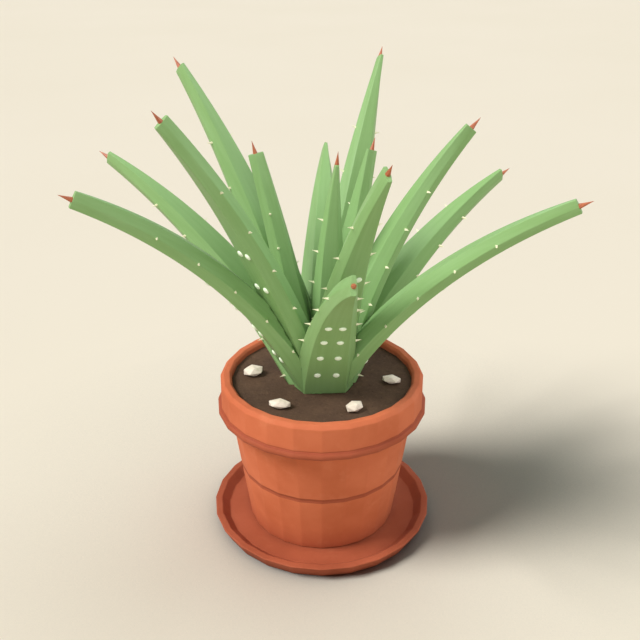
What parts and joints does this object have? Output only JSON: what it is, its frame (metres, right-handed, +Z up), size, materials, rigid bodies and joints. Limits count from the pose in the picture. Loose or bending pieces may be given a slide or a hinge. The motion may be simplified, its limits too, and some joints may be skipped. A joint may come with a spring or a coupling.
{
  "type": "potted aloe vera",
  "caption": "Aloe vera in a clay pot on a round saucer: thick toothed leaves in three rings, dark soil and pale pebbles.",
  "frame": {"origin": "on the pot's axis, at the saucer's flat underside", "axes": "+Z up along the pot's axis, -Y towards the viewer of the picture, +X to the viewer's right"},
  "size_m": [0.3249, 0.3107, 0.3373],
  "materials": {
    "pot_clay": "unglazed orange clay, matt, a little paler along worn edges",
    "saucer_clay": "unglazed red-brown clay, matt",
    "soil": "dark potting soil, matt and crumbly",
    "stone": "pale cream pebble, matt",
    "leaf": "waxy green skin of a fleshy leaf, soft sheen, with cream teeth, pale spots and a brown spike",
    "stem": "pale green plant stem, hidden in the crown"
  },
  "bodies": {
    "root": {"saucer": "saucer_clay", "pot": "pot_clay", "soil": "soil", "stem": "stem", "stone_left": "stone", "stone_front_left": "stone", "stone_front_right": "stone", "stone_right": "stone", "leaf_inner_left": "leaf", "leaf_inner_right": "leaf", "leaf_inner_back": "leaf", "leaf_middle_front": "leaf", "leaf_middle_right": "leaf", "leaf_middle_back_right": "leaf", "leaf_middle_back_left": "leaf", "leaf_middle_left": "leaf", "leaf_outer_front": "leaf", "leaf_outer_right_front": "leaf", "leaf_outer_right_back": "leaf", "leaf_outer_back": "leaf", "leaf_outer_left_back": "leaf", "leaf_outer_left_front": "leaf"}
  },
  "joints": []
}
